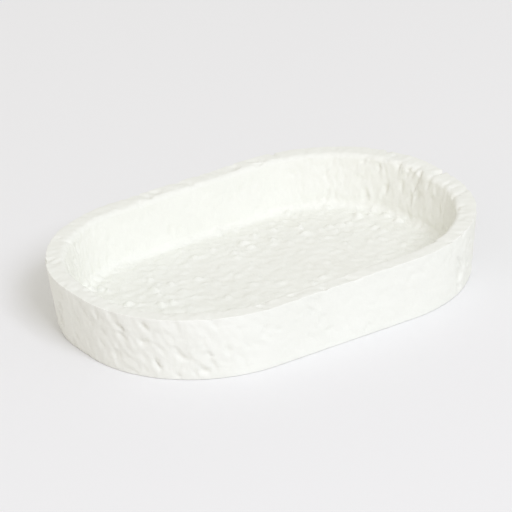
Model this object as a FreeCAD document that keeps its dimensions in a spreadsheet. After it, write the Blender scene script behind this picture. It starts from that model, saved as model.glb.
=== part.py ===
"""Open soap dish: one cast tray with a flared well, standing on four round silicone pads.

Millimetres, +X along the length, +Y to the back, +Z up. The origin is on the table, under the middle.
"""
import FreeCAD, Part
import math
import os
import Sketcher

doc = FreeCAD.newDocument("SoapDish")


# Driving dimensions

SIZES = [
    # Outline of the rim, seen from above: end_flat is the straight run across each short end
    ("rim_length", "142"),
    ("rim_width", "99"),
    ("end_flat", "9"),
    # Section through the tray: both drafts are degrees off upright, opening upwards
    ("total_height", "22"),
    ("rim_thickness", "6"),
    ("floor_thickness", "5.1"),
    ("outer_draft", "7.5"),
    ("inner_draft", "18"),
    # Rounded edges of the casting
    ("foot_round", "0.6"),
    ("rim_outer_round", "0.4"),
    ("rim_inner_round", "2"),
    ("cove_radius", "1.5"),
    # Pads under the base: pad_inset runs from the rim's corner arc to the middle of a pad
    ("pad_diameter", "10"),
    ("pad_thickness", "1.6"),
    ("pad_inset", "15"),
    # Shallow seats that the pads are stuck into, with a gap all round each pad
    ("seat_depth", "1.5"),
    ("seat_clearance", "0.25"),
]

sizes = doc.addObject("Spreadsheet::Sheet", "Sizes")
for row, (alias, number) in enumerate(SIZES, start=1):
    sizes.set(f"A{row}", alias)
    sizes.set(f"B{row}", number)
    sizes.setAlias(f"B{row}", alias)
doc.recompute()

# Sizes that follow from the driving ones
CORNER_RADIUS = "((Sizes.rim_width - Sizes.end_flat) / 2)"
UNDERSIDE = "(Sizes.pad_thickness - Sizes.seat_depth)"
FLOOR_LEVEL = f"({UNDERSIDE} + Sizes.floor_thickness)"
PAD_FROM_ARC_CENTRE = f"({CORNER_RADIUS} - Sizes.pad_inset) * cos(45 deg)"
PAD_X = f"(Sizes.rim_length / 2 - {CORNER_RADIUS} + {PAD_FROM_ARC_CENTRE})"
PAD_Y = f"(Sizes.rim_width / 2 - {CORNER_RADIUS} + {PAD_FROM_ARC_CENTRE})"


def value(expression):
    """What an expression comes to with the sizes as they stand."""
    result = sizes.evalExpression(expression)
    return getattr(result, "Value", result)


# Sketching

UP = FreeCAD.Vector(0, 0, 1)
START, END, CENTRE = 1, 2, 3
ORIGIN = (-1, 1)


def level_sketch(body, name, height="0"):
    """A sketch on the body's horizontal plane, raised to the height that an expression gives."""
    sketch = body.newObject("Sketcher::SketchObject", name)
    plane = next(p for p in body.Origin.OriginFeatures if p.Role == "XY_Plane")
    sketch.AttachmentSupport = [(plane, "")]
    sketch.MapMode = "FlatFace"
    sketch.setExpression("AttachmentOffset.Base.z", height)
    return sketch


def bind(sketch, kind, reference, name, size):
    """A named dimension of the sketch, driven by an expression."""
    index = sketch.addConstraint(Sketcher.Constraint(kind, *reference, value(size)))
    sketch.renameConstraint(index, name)
    sketch.setExpression(f"Constraints.{name}", size)


def rounded_rectangle(sketch, length, width, radius):
    """Four straight runs and four tangent corner arcs about the origin, driven by three expressions."""
    corner = value(radius)
    reach, depth = value(length) / 2, value(width) / 2
    run, rise = reach - corner, depth - corner
    point = FreeCAD.Vector
    sides = [
        (point(-run, -depth), point(run, -depth)),
        (point(reach, -rise), point(reach, rise)),
        (point(run, depth), point(-run, depth)),
        (point(-reach, rise), point(-reach, -rise)),
    ]
    arc_centres = [point(run, -rise), point(run, rise), point(-run, rise), point(-run, -rise)]
    front, right, back, left = [sketch.addGeometry(Part.LineSegment(*ends)) for ends in sides]
    arcs = []
    for quarter, centre in enumerate(arc_centres):
        turn = [math.radians(90 * (quarter - 1)), math.radians(90 * quarter)]
        arcs.append(sketch.addGeometry(Part.ArcOfCircle(Part.Circle(centre, UP, corner), *turn)))
    lines = [front, right, back, left]
    for line, arc, next_line in zip(lines, arcs, lines[1:] + lines[:1]):
        sketch.addConstraint(Sketcher.Constraint("Tangent", line, END, arc, START))
        sketch.addConstraint(Sketcher.Constraint("Tangent", arc, END, next_line, START))
    for arc in arcs[1:]:
        sketch.addConstraint(Sketcher.Constraint("Equal", arcs[0], arc))
    for line in (front, back):
        sketch.addConstraint(Sketcher.Constraint("Horizontal", line))
    for line in (right, left):
        sketch.addConstraint(Sketcher.Constraint("Vertical", line))
    sketch.addConstraint(Sketcher.Constraint("Symmetric", arcs[0], CENTRE, arcs[2], CENTRE, *ORIGIN))
    bind(sketch, "DistanceX", (left, START, right, START), "outline_length", length)
    bind(sketch, "DistanceY", (front, START, back, START), "outline_width", width)
    bind(sketch, "Radius", (arcs[0],), "corner_radius", radius)


def round_disc(sketch, name, diameter, x, y):
    """A circle whose diameter and place are driven by expressions."""
    middle = FreeCAD.Vector(value(x), value(y))
    disc = sketch.addGeometry(Part.Circle(middle, UP, value(diameter) / 2))
    bind(sketch, "Diameter", (disc,), f"{name}_diameter", diameter)
    bind(sketch, "DistanceX", (*ORIGIN, disc, CENTRE), f"{name}_x", x)
    bind(sketch, "DistanceY", (*ORIGIN, disc, CENTRE), f"{name}_y", y)


# Features, and the faces and edges that they start from

def level_face(feature, height):
    """The one level face at the height that an expression gives, with its name."""
    for number, face in enumerate(feature.Shape.Faces, start=1):
        flat = face.BoundBox.ZLength < Part.Precision.confusion()
        if flat and math.isclose(face.BoundBox.ZMin, value(height), abs_tol=1e-6):
            return f"Face{number}", face
    raise ValueError(f"{feature.Name} has no level face at {height}")


def inner_edges(feature, face):
    """Names of the edges round the hole in a face."""
    hole = [edge for wire in face.Wires if not wire.isSame(face.OuterWire) for edge in wire.Edges]
    numbered = enumerate(feature.Shape.Edges, start=1)
    return [f"Edge{number}" for number, edge in numbered if any(edge.isSame(other) for other in hole)]


def pad(body, name, sketch, length, draft="0", downwards=False):
    """Material added on a sketch; a draft below zero narrows it as it goes."""
    feature = body.newObject("PartDesign::Pad", name)
    feature.Profile = sketch
    feature.Reversed = downwards
    feature.setExpression("Length", length)
    feature.setExpression("TaperAngle", draft)
    doc.recompute()
    return feature


def pocket(body, name, sketch, depth, draft="0", upwards=False):
    """Material cut away from a sketch, which has to make the body smaller."""
    before = body.Shape.Volume
    feature = body.newObject("PartDesign::Pocket", name)
    feature.Profile = sketch
    feature.Reversed = upwards
    feature.setExpression("Length", depth)
    feature.setExpression("TaperAngle", draft)
    doc.recompute()
    if body.Shape.Volume >= before:
        raise ValueError(f"{name} cuts nothing")
    return feature


def rounding(body, name, base, selection, radius):
    """A fillet of one driven radius on the named faces or edges of a feature."""
    feature = body.newObject("PartDesign::Fillet", name)
    feature.Base = (base, selection)
    feature.setExpression("Radius", radius)
    doc.recompute()
    return feature


# The cast tray: leaning walls, a rounded rim, a flared well and four seats for the pads

def cast_tray(name):
    body = doc.addObject("PartDesign::Body", name)
    body.Label = name

    rim_outline = level_sketch(body, "rim_outline", "Sizes.total_height")
    rounded_rectangle(rim_outline, "Sizes.rim_length", "Sizes.rim_width", CORNER_RADIUS)
    doc.recompute()
    walls = pad(body, "walls", rim_outline, f"Sizes.total_height - {UNDERSIDE}",
                draft="-Sizes.outer_draft", downwards=True)
    foot_face, _ = level_face(walls, UNDERSIDE)
    foot = rounding(body, "foot", walls, [foot_face], "Sizes.foot_round")
    rim_face, _ = level_face(foot, "Sizes.total_height")
    rim = rounding(body, "rim_outer_edge", foot, [rim_face], "Sizes.rim_outer_round")

    well_outline = level_sketch(body, "well_outline", "Sizes.total_height")
    rounded_rectangle(well_outline, "Sizes.rim_length - 2 * Sizes.rim_thickness",
                      "Sizes.rim_width - 2 * Sizes.rim_thickness", f"{CORNER_RADIUS} - Sizes.rim_thickness")
    doc.recompute()
    well = pocket(body, "well", well_outline, f"Sizes.total_height - {FLOOR_LEVEL}", draft="-Sizes.inner_draft")
    floor_face, _ = level_face(well, FLOOR_LEVEL)
    cove = rounding(body, "cove", well, [floor_face], "Sizes.cove_radius")
    _, rim_top = level_face(cove, "Sizes.total_height")
    rounding(body, "rim_inner_edge", cove, inner_edges(cove, rim_top), "Sizes.rim_inner_round")

    seat_outline = level_sketch(body, "seat_outline", UNDERSIDE)
    for place, (column, line) in PAD_PLACES.items():
        round_disc(seat_outline, place, "Sizes.pad_diameter + 2 * Sizes.seat_clearance",
                   f"{column} * {PAD_X}", f"{line} * {PAD_Y}")
    doc.recompute()
    pocket(body, "pad_seats", seat_outline, "Sizes.seat_depth", upwards=True)
    return body


# The silicone pads: discs cut from sheet, each stuck to the roof of its seat

PAD_PLACES = {"front_left": (-1, -1), "front_right": (1, -1), "back_left": (-1, 1), "back_right": (1, 1)}


def foot_pad(name, column, line):
    body = doc.addObject("PartDesign::Body", name)
    body.Label = name
    outline = level_sketch(body, f"{name}_outline")
    round_disc(outline, "disc", "Sizes.pad_diameter", "0", "0")
    doc.recompute()
    pad(body, f"{name}_disc", outline, "Sizes.pad_thickness")
    body.setExpression("Placement.Base.x", f"{column} * {PAD_X}")
    body.setExpression("Placement.Base.y", f"{line} * {PAD_Y}")
    return body


pieces = [cast_tray("dish_body")]
for place, (column, line) in PAD_PLACES.items():
    pieces.append(foot_pad(f"foot_pad_{place}", column, line))
doc.recompute()


# Test every object, then write one file for each piece

failed = [item.Name for item in doc.Objects if {"Invalid", "Error"} & set(item.State)]
if failed:
    raise RuntimeError(f"these objects failed to build: {failed}")
for piece in pieces:
    if piece.Shape.isNull() or not piece.Shape.isValid() or len(piece.Shape.Solids) != 1:
        raise RuntimeError(f"{piece.Label} isn't one valid solid")

os.makedirs("parts", exist_ok=True)
for piece in pieces:
    piece.Shape.exportStep(f"parts/{piece.Label}.step")
    print(f"{piece.Label}: {piece.Shape.Volume:.1f} mm3")
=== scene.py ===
"""Soap dish: one rough casting on four silicone pads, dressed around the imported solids. Metres, +Z up."""
import math

import bmesh
import bpy
import numpy as np
from mathutils import Matrix, Vector


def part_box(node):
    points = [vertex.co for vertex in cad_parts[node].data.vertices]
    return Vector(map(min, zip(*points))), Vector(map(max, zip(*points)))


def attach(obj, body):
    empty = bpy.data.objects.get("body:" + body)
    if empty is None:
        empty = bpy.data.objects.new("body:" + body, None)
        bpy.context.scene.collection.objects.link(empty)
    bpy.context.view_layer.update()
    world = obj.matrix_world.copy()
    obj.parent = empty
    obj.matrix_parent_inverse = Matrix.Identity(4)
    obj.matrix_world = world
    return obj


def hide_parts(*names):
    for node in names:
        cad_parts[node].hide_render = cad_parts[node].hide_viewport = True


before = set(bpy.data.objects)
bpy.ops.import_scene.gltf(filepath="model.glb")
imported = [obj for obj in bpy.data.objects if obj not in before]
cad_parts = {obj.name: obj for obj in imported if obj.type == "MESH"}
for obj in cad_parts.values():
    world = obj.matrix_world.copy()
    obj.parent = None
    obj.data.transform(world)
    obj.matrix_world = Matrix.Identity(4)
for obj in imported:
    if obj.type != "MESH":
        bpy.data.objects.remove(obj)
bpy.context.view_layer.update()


# Cast tray
# One piece of stone-filled resin, poured into a soft mould that was taken from a hand-gouged original.
# Its walls lean in towards the foot, and the well flares open above a rounded cove for wiping out.

MM = 0.001

tray_low, tray_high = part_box("dish_body")
END_FLAT = 9 * MM
RIM_THICKNESS = 6 * MM
FLOOR_THICKNESS = 5.1 * MM
OUTER_DRAFT = math.radians(7.5)
INNER_DRAFT = math.radians(14)
FOOT_ROUND = 0.1 * MM
RIM_OUTER_ROUND = 0.1 * MM
RIM_INNER_ROUND = 2 * MM
COVE_RADIUS = 3 * MM

CORNER_RADIUS = tray_high.y - END_FLAT / 2
HALF_RUN = tray_high.x - CORNER_RADIUS
HALF_RISE = END_FLAT / 2
SIDE_LENGTH = 2 * HALF_RUN + CORNER_RADIUS * math.pi / 2
END_LENGTH = 2 * HALF_RISE + CORNER_RADIUS * math.pi / 2
PERIMETER = 2 * (SIDE_LENGTH + END_LENGTH)
FLOOR_LEVEL = tray_low.z + FLOOR_THICKNESS

# The skin's mesh: columns along each side and end, and rows that lie closer together round the edges
SIDE_STEPS = 200
END_STEPS = 130
SECTION_STEP = 0.6 * MM
ROUND_STEP = 0.15 * MM
ROWS_PER_RADIAN = 12
FEWEST_ROUND_ROWS = 4
FEWEST_STRAIGHT_ROWS = 2


def rim_outline(distance):
    """Arc centre or straight-run point, and outward direction, at distances along the rim."""
    eighth, quarter = CORNER_RADIUS * math.pi / 4, CORNER_RADIUS * math.pi / 2
    lengths = [0, eighth, 2 * HALF_RUN, quarter, 2 * HALF_RISE, quarter, 2 * HALF_RUN, quarter,
               2 * HALF_RISE, eighth]
    knots = np.cumsum(lengths)
    turns = np.radians([225, 270, 270, 360, 360, 450, 450, 540, 540, 585])
    across = HALF_RUN * np.array([-1, -1, 1, 1, 1, 1, -1, -1, -1, -1])
    along = HALF_RISE * np.array([-1, -1, -1, -1, 1, 1, 1, 1, -1, -1])
    place = np.mod(distance, PERIMETER)
    turn = np.interp(place, knots, turns)
    centre = np.stack([np.interp(place, knots, across), np.interp(place, knots, along)], axis=-1)
    return centre, np.stack([np.cos(turn), np.sin(turn)], axis=-1)


def rounded_section():
    """The tray's section from underside to well floor as (inset, height) points, and the run along it."""
    foot_inset = (tray_high.z - tray_low.z) * math.tan(OUTER_DRAFT)
    floor_inset = RIM_THICKNESS + (tray_high.z - FLOOR_LEVEL) * math.tan(INNER_DRAFT)
    beyond = 20 * MM
    corners = [
        (foot_inset + beyond, tray_low.z, 0),
        (foot_inset, tray_low.z, FOOT_ROUND),
        (0, tray_high.z, RIM_OUTER_ROUND),
        (RIM_THICKNESS, tray_high.z, RIM_INNER_ROUND),
        (floor_inset, FLOOR_LEVEL, COVE_RADIUS),
        (floor_inset + beyond, FLOOR_LEVEL, 0),
    ]
    path = []
    for before, corner, after in zip(corners, corners[1:], corners[2:]):
        here, radius = np.array(corner[:2]), corner[2]
        backward = np.array(before[:2]) - here
        onward = np.array(after[:2]) - here
        backward, onward = backward / np.linalg.norm(backward), onward / np.linalg.norm(onward)
        half = math.acos(np.clip(backward @ onward, -1, 1)) / 2
        bisector = (backward + onward) / np.linalg.norm(backward + onward)
        centre = here + bisector * radius / math.sin(half)
        arc_start = backward * radius / math.tan(half) + here - centre
        sweep = math.pi - 2 * half
        way_round = math.copysign(1, backward[0] * onward[1] - backward[1] * onward[0])
        if path:
            straight = centre + arc_start - path[-1]
            length = np.linalg.norm(straight)
            rows = max(FEWEST_STRAIGHT_ROWS, round(length / SECTION_STEP))
            steps = np.linspace(ROUND_STEP, length - ROUND_STEP, rows)
            path += [path[-1] + straight * step / length for step in steps]
        rows = max(FEWEST_ROUND_ROWS, round(min(radius / ROUND_STEP, ROWS_PER_RADIAN) * sweep))
        for angle in np.linspace(0, -way_round * sweep, rows):
            turn = np.array([[math.cos(angle), -math.sin(angle)], [math.sin(angle), math.cos(angle)]])
            path.append(centre + turn @ arc_start)
    path = np.array(path)
    return path, np.concatenate([[0], np.cumsum(np.linalg.norm(np.diff(path, axis=0), axis=1))])


section, section_run = rounded_section()
sides = 2 * [(SIDE_LENGTH, SIDE_STEPS), (END_LENGTH, END_STEPS)]
side_starts = np.cumsum([0] + [length for length, _ in sides])
columns = np.concatenate([begin + np.linspace(0, length, steps, endpoint=False)
                          for begin, (length, steps) in zip(side_starts, sides)])
core, outward = rim_outline(columns)
rings = np.empty((len(section), len(columns), 3))
for ring, (inset, level) in zip(rings, section):
    ring[:, :2] = core + outward * (CORNER_RADIUS - inset)
    ring[:, 2] = level
grid = np.arange(rings.size // 3).reshape(rings.shape[:2])
ahead = np.roll(grid, -1, axis=1)
wall_faces = np.stack([grid[:-1], ahead[:-1], ahead[1:], grid[1:]], axis=-1).reshape(-1, 4)


def four_sides(loop):
    """The well floor's border as front, right, back and left sides, each running towards +X or +Y."""
    ends = np.cumsum([0, SIDE_STEPS, END_STEPS, SIDE_STEPS])
    closed = np.concatenate([loop, loop[:1]])
    return (closed[ends[0]:ends[1] + 1], closed[ends[1]:ends[2] + 1],
            closed[ends[2]:ends[3] + 1][::-1], closed[ends[3]:][::-1])


front, right, back, left = four_sides(rings[-1])
u = np.linspace(0, 1, SIDE_STEPS + 1)[None, :, None]
v = np.linspace(0, 1, END_STEPS + 1)[:, None, None]
well_floor = ((1 - v) * front[None] + v * back[None] + (1 - u) * left[:, None] + u * right[:, None]
              - (1 - v) * ((1 - u) * front[0] + u * front[-1]) - v * ((1 - u) * back[0] + u * back[-1]))
floor_inside = well_floor[1:-1, 1:-1].reshape(-1, 3)
floor_grid = np.empty(well_floor.shape[:2], int)
floor_grid[0], floor_grid[:, -1], floor_grid[-1], floor_grid[:, 0] = four_sides(grid[-1])
floor_grid[1:-1, 1:-1] = grid.size + np.arange(len(floor_inside)).reshape(END_STEPS - 1, SIDE_STEPS - 1)
floor_faces = np.stack([floor_grid[:-1, :-1], floor_grid[:-1, 1:],
                        floor_grid[1:, 1:], floor_grid[1:, :-1]], axis=-1).reshape(-1, 4)

tray_mesh = bpy.data.meshes.new("dish_body")
tray_mesh.from_pydata(np.concatenate([rings.reshape(-1, 3), floor_inside]).tolist(), [],
                      np.concatenate([wall_faces, floor_faces]).tolist())
dressed = len(tray_mesh.vertices)

SEAT_DEPTH = 1.5 * MM
SEAT_CLEARANCE = 0.25 * MM
SEAT_SIDES = 48
PADS = ["foot_pad_front_left", "foot_pad_front_right", "foot_pad_back_left", "foot_pad_back_right"]

form = bmesh.new()
form.from_mesh(tray_mesh)
underside_edges = [edge for edge in form.edges if edge.is_boundary]
for pad in PADS:
    pad_low, pad_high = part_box(pad)
    seat_radius = (pad_high.x - pad_low.x) / 2 + SEAT_CLEARANCE
    seat_middle = (pad_low + pad_high) / 2
    seat_place = Matrix.Translation((seat_middle.x, seat_middle.y, tray_low.z))
    mouth = bmesh.ops.create_circle(form, segments=SEAT_SIDES, radius=seat_radius, matrix=seat_place)
    mouth_edges = list({edge for point in mouth["verts"] for edge in point.link_edges})
    underside_edges += mouth_edges
    seat_wall = bmesh.ops.extrude_edge_only(form, edges=mouth_edges)["geom"]
    roof = [item for item in seat_wall if isinstance(item, bmesh.types.BMVert)]
    bmesh.ops.translate(form, verts=roof, vec=(0, 0, SEAT_DEPTH))
    roof_edges = [item for item in seat_wall if isinstance(item, bmesh.types.BMEdge)
                  and all(end in roof for end in item.verts)]
    bmesh.ops.contextual_create(form, geom=roof_edges)
bmesh.ops.triangle_fill(form, edges=underside_edges, use_beauty=True)
bmesh.ops.recalc_face_normals(form, faces=form.faces)
form.to_mesh(tray_mesh)
form.free()

# The relief is drawn out up and over the walls, leaning on the outside, and nearly even on the floor.
STROKE_LEAN = 0.4
on_rim = section[:, 1] >= tray_high.z - MM
off_middle = np.abs(section[:, 0] - RIM_THICKNESS / 2)
rim_run = section_run[np.argmin(np.where(on_rim, off_middle, np.inf))]
lean = STROKE_LEAN * np.minimum(section_run - rim_run, 0)
stroke = np.empty_like(rings)
for row, run, aside in zip(stroke, section_run, lean):
    leaning_core, leaning_outward = rim_outline(columns + aside)
    row[:, :2] = leaning_core + leaning_outward * CORNER_RADIUS
    row[:, 2] = run

# Dents are pressed in along a direction that turns slowly over the edges, so the skin doesn't fold there.
# Past the last row the floor goes on level, and counts in that direction as far as the blur reaches.
LIFT_BLUR = 0.9 * MM
slope = np.gradient(section, section_run, axis=0)
apart = (section_run[:, None] - section_run[None]) / LIFT_BLUR
weight = np.exp(-apart ** 2 / 2) * np.gradient(section_run)
facing = weight @ np.stack([-slope[:, 1], slope[:, 0]], axis=-1)
facing[:, 1] += [LIFT_BLUR * math.sqrt(math.pi / 2) * math.erfc(to_floor / LIFT_BLUR / math.sqrt(2))
                 for to_floor in section_run[-1] - section_run]
facing /= np.linalg.norm(facing, axis=1)[:, None]
lift = np.empty_like(rings)
lift[:, :, :2] = -facing[:, None, :1] * outward
lift[:, :, 2] = facing[:, 1:]
floor_lift = np.broadcast_to([0.0, 0.0, 1.0], floor_inside.shape)


def ramp(value, start, end):
    """Smooth 0 to 1 as a value goes from start to end."""
    share = np.clip((value - start) / (end - start), 0, 1)
    return share * share * (3 - 2 * share)


# The ends are the roughest, with the rim close behind. Both straight sides are calmer, and the relief
# fades towards the foot.
SIDE_RELIEF = 0.45
RIM_RELIEF = 0.8
END_TURN = (0.1, 0.7)
RIM_REACH = (2 * MM, 5 * MM)
FOOT_REACH = (-0.8 * MM, 1.6 * MM)
FLOOR_REACH = (-6 * MM, -1 * MM)

floor_reach = ramp(section_run - section_run[-1], *FLOOR_REACH)
floor_share = np.broadcast_to(floor_reach[:, None], grid.shape)
off_rim = ramp(np.abs(section_run - rim_run), *RIM_REACH)[:, None]
side_relief = SIDE_RELIEF + (1 - SIDE_RELIEF) * ramp(np.abs(outward[:, 0]), *END_TURN)
wall_relief = RIM_RELIEF * (1 - off_rim) + off_rim * side_relief
foot_share = ramp(section_run, *FOOT_REACH)[:, None]
relief_share = foot_share * (floor_share + (1 - floor_share) * wall_relief)
spare = len(tray_mesh.vertices) - dressed
fields = {
    "stroke": np.concatenate([stroke.reshape(-1, 3), floor_inside, np.zeros((spare, 3))]),
    "lift": np.concatenate([lift.reshape(-1, 3), floor_lift, np.zeros((spare, 3))]),
    "floor_share": np.concatenate([floor_share.ravel(), np.ones(len(floor_inside)), np.zeros(spare)]),
    "relief_share": np.concatenate([relief_share.ravel(), np.ones(len(floor_inside)), np.zeros(spare)]),
}
for field, values in fields.items():
    vector = values.ndim == 2
    layer = tray_mesh.attributes.new(field, "FLOAT_VECTOR" if vector else "FLOAT", "POINT")
    layer.data.foreach_set("vector" if vector else "value", values.ravel())


def add_node(tree, kind, inputs=None, **settings):
    """Adds a node with its settings, and gives its inputs values or links from other nodes' outputs."""
    made = tree.nodes.new(kind)
    for name, value in settings.items():
        setattr(made, name, value)
    for name, value in (inputs or {}).items():
        if isinstance(value, bpy.types.NodeSocket):
            tree.links.new(value, made.inputs[name])
        else:
            made.inputs[name].default_value = value
    return made


def node_tree(name, inputs, outputs):
    """A Geometry Nodes tree with named sockets; returns it, its inputs and its output node."""
    tree = bpy.data.node_groups.new(name, "GeometryNodeTree")
    for direction, sockets in (("INPUT", inputs), ("OUTPUT", outputs)):
        for label, kind in sockets.items():
            tree.interface.new_socket(label, in_out=direction, socket_type="NodeSocket" + kind)
    return tree, tree.nodes.new("NodeGroupInput").outputs, tree.nodes.new("NodeGroupOutput")


RELIEF = ["Wave Size", "Wave Height", "Lump Size", "Lump Height", "Dent Size", "Dent Depth", "Dent Chance",
          "Grit Size", "Grit Height", "Patch Size", "Warp", "Level"]
SEED_STEP = (37.0, 71.0, 19.0)
BENDS_PER_MM = 0.2
NOISE_MIDDLE = (0.5, 0.5, 0.5)
NOISE_ROUGHNESS = 0.55
NOISE_LOW, NOISE_HIGH = 0.25, 0.75
NOISE_DETAIL = {"Wave": 1.0, "Lump": 2.0, "Grit": 2.0}
CELL_SOFTNESS = 0.15
BOWL_FLOOR, BOWL_EDGE = 0.05, 0.55
PATCH_LEAST, PATCH_MOST = 0.4, 1.3

relief_tree, asked, relief_end = node_tree(
    "gouged relief",
    {"Point": "Vector", **{label: "Float" for label in RELIEF}, "Seed": "Float"},
    {"Height": "Float"})
seed_shift = add_node(relief_tree, "ShaderNodeVectorMath", {0: SEED_STEP, "Scale": asked["Seed"]},
                      operation="SCALE")
unbent = add_node(relief_tree, "ShaderNodeVectorMath",
                  {0: asked["Point"], 1: seed_shift.outputs["Vector"]}, operation="ADD")
bend = add_node(relief_tree, "ShaderNodeTexNoise",
                {"Vector": unbent.outputs["Vector"], "Scale": BENDS_PER_MM, "Detail": 1.0})
bend_way = add_node(relief_tree, "ShaderNodeVectorMath", {0: bend.outputs["Color"], 1: NOISE_MIDDLE},
                    operation="SUBTRACT")
warp = add_node(relief_tree, "ShaderNodeVectorMath",
                {0: bend_way.outputs["Vector"], "Scale": asked["Warp"]}, operation="SCALE")
bent = add_node(relief_tree, "ShaderNodeVectorMath",
                {0: unbent.outputs["Vector"], 1: warp.outputs["Vector"]}, operation="ADD")


def even_noise(size, detail, low, high):
    """Noise over the bent surface with lumps of a given size, spread from low to high."""
    scale = add_node(relief_tree, "ShaderNodeMath", {0: 1.0, 1: size}, operation="DIVIDE")
    noise = add_node(relief_tree, "ShaderNodeTexNoise",
                     {"Vector": bent.outputs["Vector"], "Scale": scale.outputs["Value"],
                      "Detail": detail, "Roughness": NOISE_ROUGHNESS})
    spread = add_node(relief_tree, "ShaderNodeMapRange",
                      {"Value": noise.outputs["Fac"], "From Min": NOISE_LOW, "From Max": NOISE_HIGH,
                       "To Min": low, "To Max": high}, clamp=False)
    return spread.outputs["Result"]


heights = []
for label, detail in NOISE_DETAIL.items():
    swell = even_noise(asked[label + " Size"], detail, -1.0, 1.0)
    heights.append(add_node(relief_tree, "ShaderNodeMath", {0: swell, 1: asked[label + " Height"]},
                            operation="MULTIPLY").outputs["Value"])
dent_scale = add_node(relief_tree, "ShaderNodeMath", {0: 1.0, 1: asked["Dent Size"]}, operation="DIVIDE")
cells = add_node(relief_tree, "ShaderNodeTexVoronoi",
                 {"Vector": bent.outputs["Vector"], "Scale": dent_scale.outputs["Value"],
                  "Smoothness": CELL_SOFTNESS, "Randomness": 1.0}, feature="SMOOTH_F1")
bowl = add_node(relief_tree, "ShaderNodeMapRange",
                {"Value": cells.outputs["Distance"], "From Min": BOWL_FLOOR, "From Max": BOWL_EDGE,
                 "To Min": -1.0, "To Max": 0.0}, interpolation_type="SMOOTHSTEP")
draw = add_node(relief_tree, "FunctionNodeSeparateColor", {"Color": cells.outputs["Color"]})
rarest = add_node(relief_tree, "ShaderNodeMath", {0: 1.0, 1: asked["Dent Chance"]}, operation="SUBTRACT")
pressed = add_node(relief_tree, "ShaderNodeMapRange",
                   {"Value": draw.outputs["Red"], "From Min": rarest.outputs["Value"]})
patches = even_noise(asked["Patch Size"], 0.0, PATCH_LEAST, PATCH_MOST)
dents = bowl.outputs["Result"]
for factor in (pressed.outputs["Result"], asked["Dent Depth"], patches):
    dents = add_node(relief_tree, "ShaderNodeMath", {0: dents, 1: factor},
                     operation="MULTIPLY").outputs["Value"]
heights.append(dents)
total = asked["Level"]
for part_height in heights:
    total = add_node(relief_tree, "ShaderNodeMath", {0: total, 1: part_height}).outputs["Value"]
relief_tree.links.new(total, relief_end.inputs["Height"])

MM_PER_METRE = 1000.0
MIX_FIRST_VALUE, MIX_SECOND_VALUE = 2, 3

cast_tree, given, cast_end = node_tree(
    "rough cast tray",
    {"Geometry": "Geometry", "Wall Stretch": "Float", "Floor Stretch": "Float",
     **{zone + label: "Float" for zone in ("Wall ", "Floor ") for label in RELIEF},
     "Seed": "Float", "Material": "Material"},
    {"Geometry": "Geometry"})
named = {field: add_node(cast_tree, "GeometryNodeInputNamedAttribute", {"Name": field},
                         data_type="FLOAT_VECTOR" if values.ndim == 2 else "FLOAT").outputs["Attribute"]
         for field, values in fields.items()}
position = add_node(cast_tree, "GeometryNodeInputPosition").outputs["Position"]
zones = []
for zone, source, along in (("Wall ", named["stroke"], "Z"), ("Floor ", position, "X")):
    shrink = add_node(cast_tree, "ShaderNodeMath", {0: MM_PER_METRE, 1: given[zone + "Stretch"]},
                      operation="DIVIDE")
    factors = add_node(cast_tree, "ShaderNodeCombineXYZ", {axis: MM_PER_METRE for axis in "XYZ"})
    cast_tree.links.new(shrink.outputs["Value"], factors.inputs[along])
    drawn = add_node(cast_tree, "ShaderNodeVectorMath", {0: source, 1: factors.outputs["Vector"]},
                     operation="MULTIPLY")
    zones.append(add_node(cast_tree, "GeometryNodeGroup", node_tree=relief_tree))
    cast_tree.links.new(drawn.outputs["Vector"], zones[-1].inputs["Point"])
    for label in RELIEF:
        cast_tree.links.new(given[zone + label], zones[-1].inputs[label])
    cast_tree.links.new(given["Seed"], zones[-1].inputs["Seed"])
blend = add_node(cast_tree, "ShaderNodeMix",
                 {"Factor": named["floor_share"], MIX_FIRST_VALUE: zones[0].outputs["Height"],
                  MIX_SECOND_VALUE: zones[1].outputs["Height"]})
height = add_node(cast_tree, "ShaderNodeMath", {0: blend.outputs["Result"], 1: named["relief_share"]},
                  operation="MULTIPLY")
metres = add_node(cast_tree, "ShaderNodeMath", {0: height.outputs["Value"], 1: MM}, operation="MULTIPLY")
offset = add_node(cast_tree, "ShaderNodeVectorMath",
                  {0: named["lift"], "Scale": metres.outputs["Value"]}, operation="SCALE")
marked = add_node(cast_tree, "GeometryNodeStoreNamedAttribute",
                  {"Geometry": given["Geometry"], "Name": "cast_height", "Value": height.outputs["Value"]},
                  data_type="FLOAT", domain="POINT")
moved = add_node(cast_tree, "GeometryNodeSetPosition",
                 {"Geometry": marked.outputs["Geometry"], "Offset": offset.outputs["Vector"]})
smooth = add_node(cast_tree, "GeometryNodeSetShadeSmooth", {"Geometry": moved.outputs["Geometry"]})
real = add_node(cast_tree, "GeometryNodeRealizeInstances", {"Geometry": smooth.outputs["Geometry"]})
finished = add_node(cast_tree, "GeometryNodeSetMaterial",
                    {"Geometry": real.outputs["Geometry"], "Material": given["Material"]})
cast_tree.links.new(finished.outputs["Geometry"], cast_end.inputs["Geometry"])


def linear(code):
    """Linear RGBA of an sRGB hex colour."""
    parts = [int(code[digit:digit + 2], 16) / 255 for digit in (1, 3, 5)]
    return [part / 12.92 if part <= 0.04045 else ((part + 0.055) / 1.055) ** 2.4 for part in parts] + [1]


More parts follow.
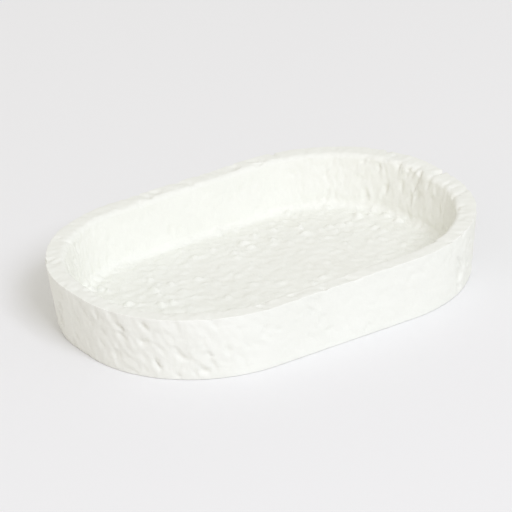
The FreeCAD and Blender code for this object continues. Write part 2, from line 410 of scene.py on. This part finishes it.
# Stone-filled resin: marble dust in a white binder, matt and chalky, with painted shade darkening it in the
# gouges.
# Real dust is too fine to show at this distance, so its grain is drawn coarser.
RESIN_DARK, RESIN_LIGHT, RESIN_PAINTED_SHADE = "#EBECE4", "#F1F2EB", "#E2E1D6"
MOTTLE_SIZE = 14 * MM
GRAIN_SIZE = 0.6 * MM
GRAIN_HEIGHT = 0.12 * MM
GRAIN_STRENGTH = 0.35
ROUGH_LEAST, ROUGH_MOST = 0.72, 0.9
PAINTED_SHADE_FROM, PAINTED_SHADE_TO = -0.2, -1.0
PAINTED_SHADE_MIX = 0.5
MIX_FIRST_COLOUR, MIX_SECOND_COLOUR, MIX_COLOUR_RESULT = 6, 7, 2

resin = bpy.data.materials.new("stone_filled_resin")
resin.use_nodes = True
resin_nodes = resin.node_tree
resin_surface = resin_nodes.nodes["Principled BSDF"]
resin_surface.inputs["IOR"].default_value = 1.5
resin_surface.inputs["Specular IOR Level"].default_value = 0.3
resin_spot = add_node(resin_nodes, "ShaderNodeTexCoord").outputs["Object"]
mottle = add_node(resin_nodes, "ShaderNodeTexNoise",
                  {"Vector": resin_spot, "Scale": 1 / MOTTLE_SIZE, "Detail": 3.0})
mottle_mix = add_node(resin_nodes, "ShaderNodeMix",
                      {"Factor": mottle.outputs["Fac"], MIX_FIRST_COLOUR: linear(RESIN_DARK),
                       MIX_SECOND_COLOUR: linear(RESIN_LIGHT)}, data_type="RGBA")
# Painted shade: the deeper a point lies in a dent, the more its colour turns towards the darker shade
# colour.
hollow = add_node(resin_nodes, "ShaderNodeAttribute", attribute_name="cast_height")
painted_shade_share = add_node(resin_nodes, "ShaderNodeMapRange",
                        {"Value": hollow.outputs["Fac"], "From Min": PAINTED_SHADE_FROM, "From Max": PAINTED_SHADE_TO,
                         "To Max": PAINTED_SHADE_MIX})
painted_shade_mix = add_node(resin_nodes, "ShaderNodeMix",
                      {"Factor": painted_shade_share.outputs["Result"],
                       MIX_FIRST_COLOUR: mottle_mix.outputs[MIX_COLOUR_RESULT],
                       MIX_SECOND_COLOUR: linear(RESIN_PAINTED_SHADE)}, data_type="RGBA")
resin_nodes.links.new(painted_shade_mix.outputs[MIX_COLOUR_RESULT], resin_surface.inputs["Base Color"])
grain = add_node(resin_nodes, "ShaderNodeTexNoise",
                 {"Vector": resin_spot, "Scale": 1 / GRAIN_SIZE, "Detail": 2.0})
dull = add_node(resin_nodes, "ShaderNodeMapRange",
                {"Value": grain.outputs["Fac"], "To Min": ROUGH_LEAST, "To Max": ROUGH_MOST})
resin_nodes.links.new(dull.outputs["Result"], resin_surface.inputs["Roughness"])
bump = add_node(resin_nodes, "ShaderNodeBump",
                {"Height": grain.outputs["Fac"], "Strength": GRAIN_STRENGTH, "Distance": GRAIN_HEIGHT})
resin_nodes.links.new(bump.outputs["Normal"], resin_surface.inputs["Normal"])

# Sizes, heights and depths in millimetres. The floor's depth is below zero, so its dents stand up as lumps.
TRAY_VALUES = {
    "Wall Stretch": 1.4, "Floor Stretch": 0.85, "Seed": 3.0, "Material": resin,
    "Wall Wave Size": 16.0, "Wall Wave Height": 0.25, "Wall Lump Size": 2.4, "Wall Lump Height": 0.26,
    "Wall Dent Size": 3.9, "Wall Dent Depth": 1.3, "Wall Dent Chance": 0.85,
    "Wall Grit Size": 1.1, "Wall Grit Height": 0.07, "Wall Patch Size": 24.0,
    "Wall Warp": 5.5, "Wall Level": 0.2,
    "Floor Wave Size": 18.0, "Floor Wave Height": 0.2, "Floor Lump Size": 3.0, "Floor Lump Height": 0.28,
    "Floor Dent Size": 4.6, "Floor Dent Depth": -1.15, "Floor Dent Chance": 0.8,
    "Floor Grit Size": 1.1, "Floor Grit Height": 0.06, "Floor Patch Size": 24.0,
    "Floor Warp": 3.0, "Floor Level": -0.25,
}
rough = bpy.data.objects.new("dish_body_rough", tray_mesh)
bpy.context.scene.collection.objects.link(rough)
caster = rough.modifiers.new("rough cast", "NODES")
caster.node_group = cast_tree
for item in cast_tree.interface.items_tree:
    if item.in_out == "INPUT" and item.name in TRAY_VALUES:
        caster[item.identifier] = TRAY_VALUES[item.name]
plain = bpy.data.meshes.new_from_object(rough.evaluated_get(bpy.context.evaluated_depsgraph_get()))
rough.modifiers.remove(caster)
bpy.data.objects.remove(rough)

# The underside is struck off level: nothing hangs below it, and its faces are flat.
FACING_DOWN = -0.999
points = np.empty(3 * len(plain.vertices))
plain.vertices.foreach_get("co", points)
points[2::3] = np.maximum(points[2::3], tray_low.z)
plain.vertices.foreach_set("co", points)
plain.update()
for face in plain.polygons:
    face.use_smooth = face.normal.z > FACING_DOWN
tray = bpy.data.objects.new("cast_tray", plain)
bpy.context.scene.collection.objects.link(tray)
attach(tray, "root")
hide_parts("dish_body")


# Foot pads
# Four die-cut discs of white silicone, glued into shallow round seats in the underside.
# They stand a tenth of a millimetre proud, so that the tray rests on them and doesn't slip.

# Silicone sheet: satin and slightly cloudy, so the pads look soft and a little greyer than the casting.
SILICONE_DARK, SILICONE_LIGHT = "#CFCFCA", "#DCDCD7"
CLOUD_SIZE = 3 * MM

silicone = bpy.data.materials.new("die_cut_silicone")
silicone.use_nodes = True
silicone_nodes = silicone.node_tree
silicone_surface = silicone_nodes.nodes["Principled BSDF"]
silicone_surface.inputs["IOR"].default_value = 1.41
silicone_surface.inputs["Roughness"].default_value = 0.45
silicone_spot = add_node(silicone_nodes, "ShaderNodeTexCoord").outputs["Object"]
cloud = add_node(silicone_nodes, "ShaderNodeTexNoise",
                 {"Vector": silicone_spot, "Scale": 1 / CLOUD_SIZE, "Detail": 2.0})
cloud_mix = add_node(silicone_nodes, "ShaderNodeMix",
                     {"Factor": cloud.outputs["Fac"], MIX_FIRST_COLOUR: linear(SILICONE_DARK),
                      MIX_SECOND_COLOUR: linear(SILICONE_LIGHT)}, data_type="RGBA")
silicone_nodes.links.new(cloud_mix.outputs[MIX_COLOUR_RESULT], silicone_surface.inputs["Base Color"])
for pad in PADS:
    for material_slot in bpy.data.objects[pad].material_slots:
        material_slot.material = silicone


# Table, light and camera
# A plain pale table top under an even warm white sky. One large soft box in front of the tray shapes it,
# two weak ones tint its left end and lift its right end, and a long lens looks down from the front left.

TABLE_REACH = 3.0

table_mesh = bpy.data.meshes.new("table_top")
table_mesh.from_pydata([(-TABLE_REACH, -TABLE_REACH, 0), (TABLE_REACH, -TABLE_REACH, 0),
                        (TABLE_REACH, TABLE_REACH, 0), (-TABLE_REACH, TABLE_REACH, 0)], [], [(0, 1, 2, 3)])
table = bpy.data.objects.new("table_top", table_mesh)
bpy.context.scene.collection.objects.link(table)

# Matt paint: no sheen to speak of, so the table shows the tray's soft shadow and no reflection of it.
paint = bpy.data.materials.new("matt_paint")
paint.use_nodes = True
paint_surface = paint.node_tree.nodes["Principled BSDF"]
paint_surface.inputs["Base Color"].default_value = linear("#EEEEEE")
paint_surface.inputs["Roughness"].default_value = 0.9
paint_surface.inputs["Specular IOR Level"].default_value = 0.1
table_mesh.materials.append(paint)

world = bpy.data.worlds.new("studio")
bpy.context.scene.world = world
world.use_nodes = True
sky = world.node_tree.nodes["Background"]
sky.inputs["Color"].default_value = linear("#FFFDF7")
sky.inputs["Strength"].default_value = 0.71

LAMP_DISTANCE = 3.0


def studio_lamp(name, azimuth, elevation, size, power, colour):
    """A square soft box aimed at the tray from a compass angle (from +X) and a height angle, in degrees."""
    turn, rise = math.radians(azimuth), math.radians(elevation)
    way = Vector((math.cos(turn) * math.cos(rise), math.sin(turn) * math.cos(rise), math.sin(rise)))
    light = bpy.data.lights.new(name, "AREA")
    light.size = size
    light.energy = power
    light.color = linear(colour)[:3]
    lamp = bpy.data.objects.new(name, light)
    aim = way.to_track_quat("Z", "Y").to_matrix().to_4x4()
    lamp.matrix_world = Matrix.Translation(way * LAMP_DISTANCE) @ aim
    bpy.context.scene.collection.objects.link(lamp)


studio_lamp("key_box", azimuth=264, elevation=40, size=1.2, power=46, colour="#ECEFFF")
studio_lamp("left_box", azimuth=180, elevation=15, size=1.3, power=3.2, colour="#FFCAD2")
studio_lamp("right_box", azimuth=60, elevation=15, size=1.3, power=1.4, colour="#FFFFFF")

CAMERA_AZIMUTH = math.radians(-31.67)
CAMERA_ELEVATION = math.radians(25.35)
CAMERA_ROLL = math.radians(-3.72)
CAMERA_DISTANCE = 1.9585
CAMERA_TARGET = Vector((0.01295, 0.02527, 0))
CAMERA_LENS = 421.875
CAMERA_SENSOR = 36

optics = bpy.data.cameras.new("camera")
optics.lens = CAMERA_LENS
optics.sensor_width = CAMERA_SENSOR
camera = bpy.data.objects.new("camera", optics)
away = Vector((math.sin(CAMERA_AZIMUTH) * math.cos(CAMERA_ELEVATION),
               -math.cos(CAMERA_AZIMUTH) * math.cos(CAMERA_ELEVATION), math.sin(CAMERA_ELEVATION)))
sideways = Vector((math.cos(CAMERA_AZIMUTH), math.sin(CAMERA_AZIMUTH), 0))
basis = Matrix((sideways, away.cross(sideways), away)).transposed().to_4x4()
camera.matrix_world = (Matrix.Translation(CAMERA_TARGET + away * CAMERA_DISTANCE) @ basis
                       @ Matrix.Rotation(CAMERA_ROLL, 4, "Z"))
bpy.context.scene.collection.objects.link(camera)
bpy.context.scene.camera = camera
bpy.context.scene.view_settings.view_transform = "Standard"
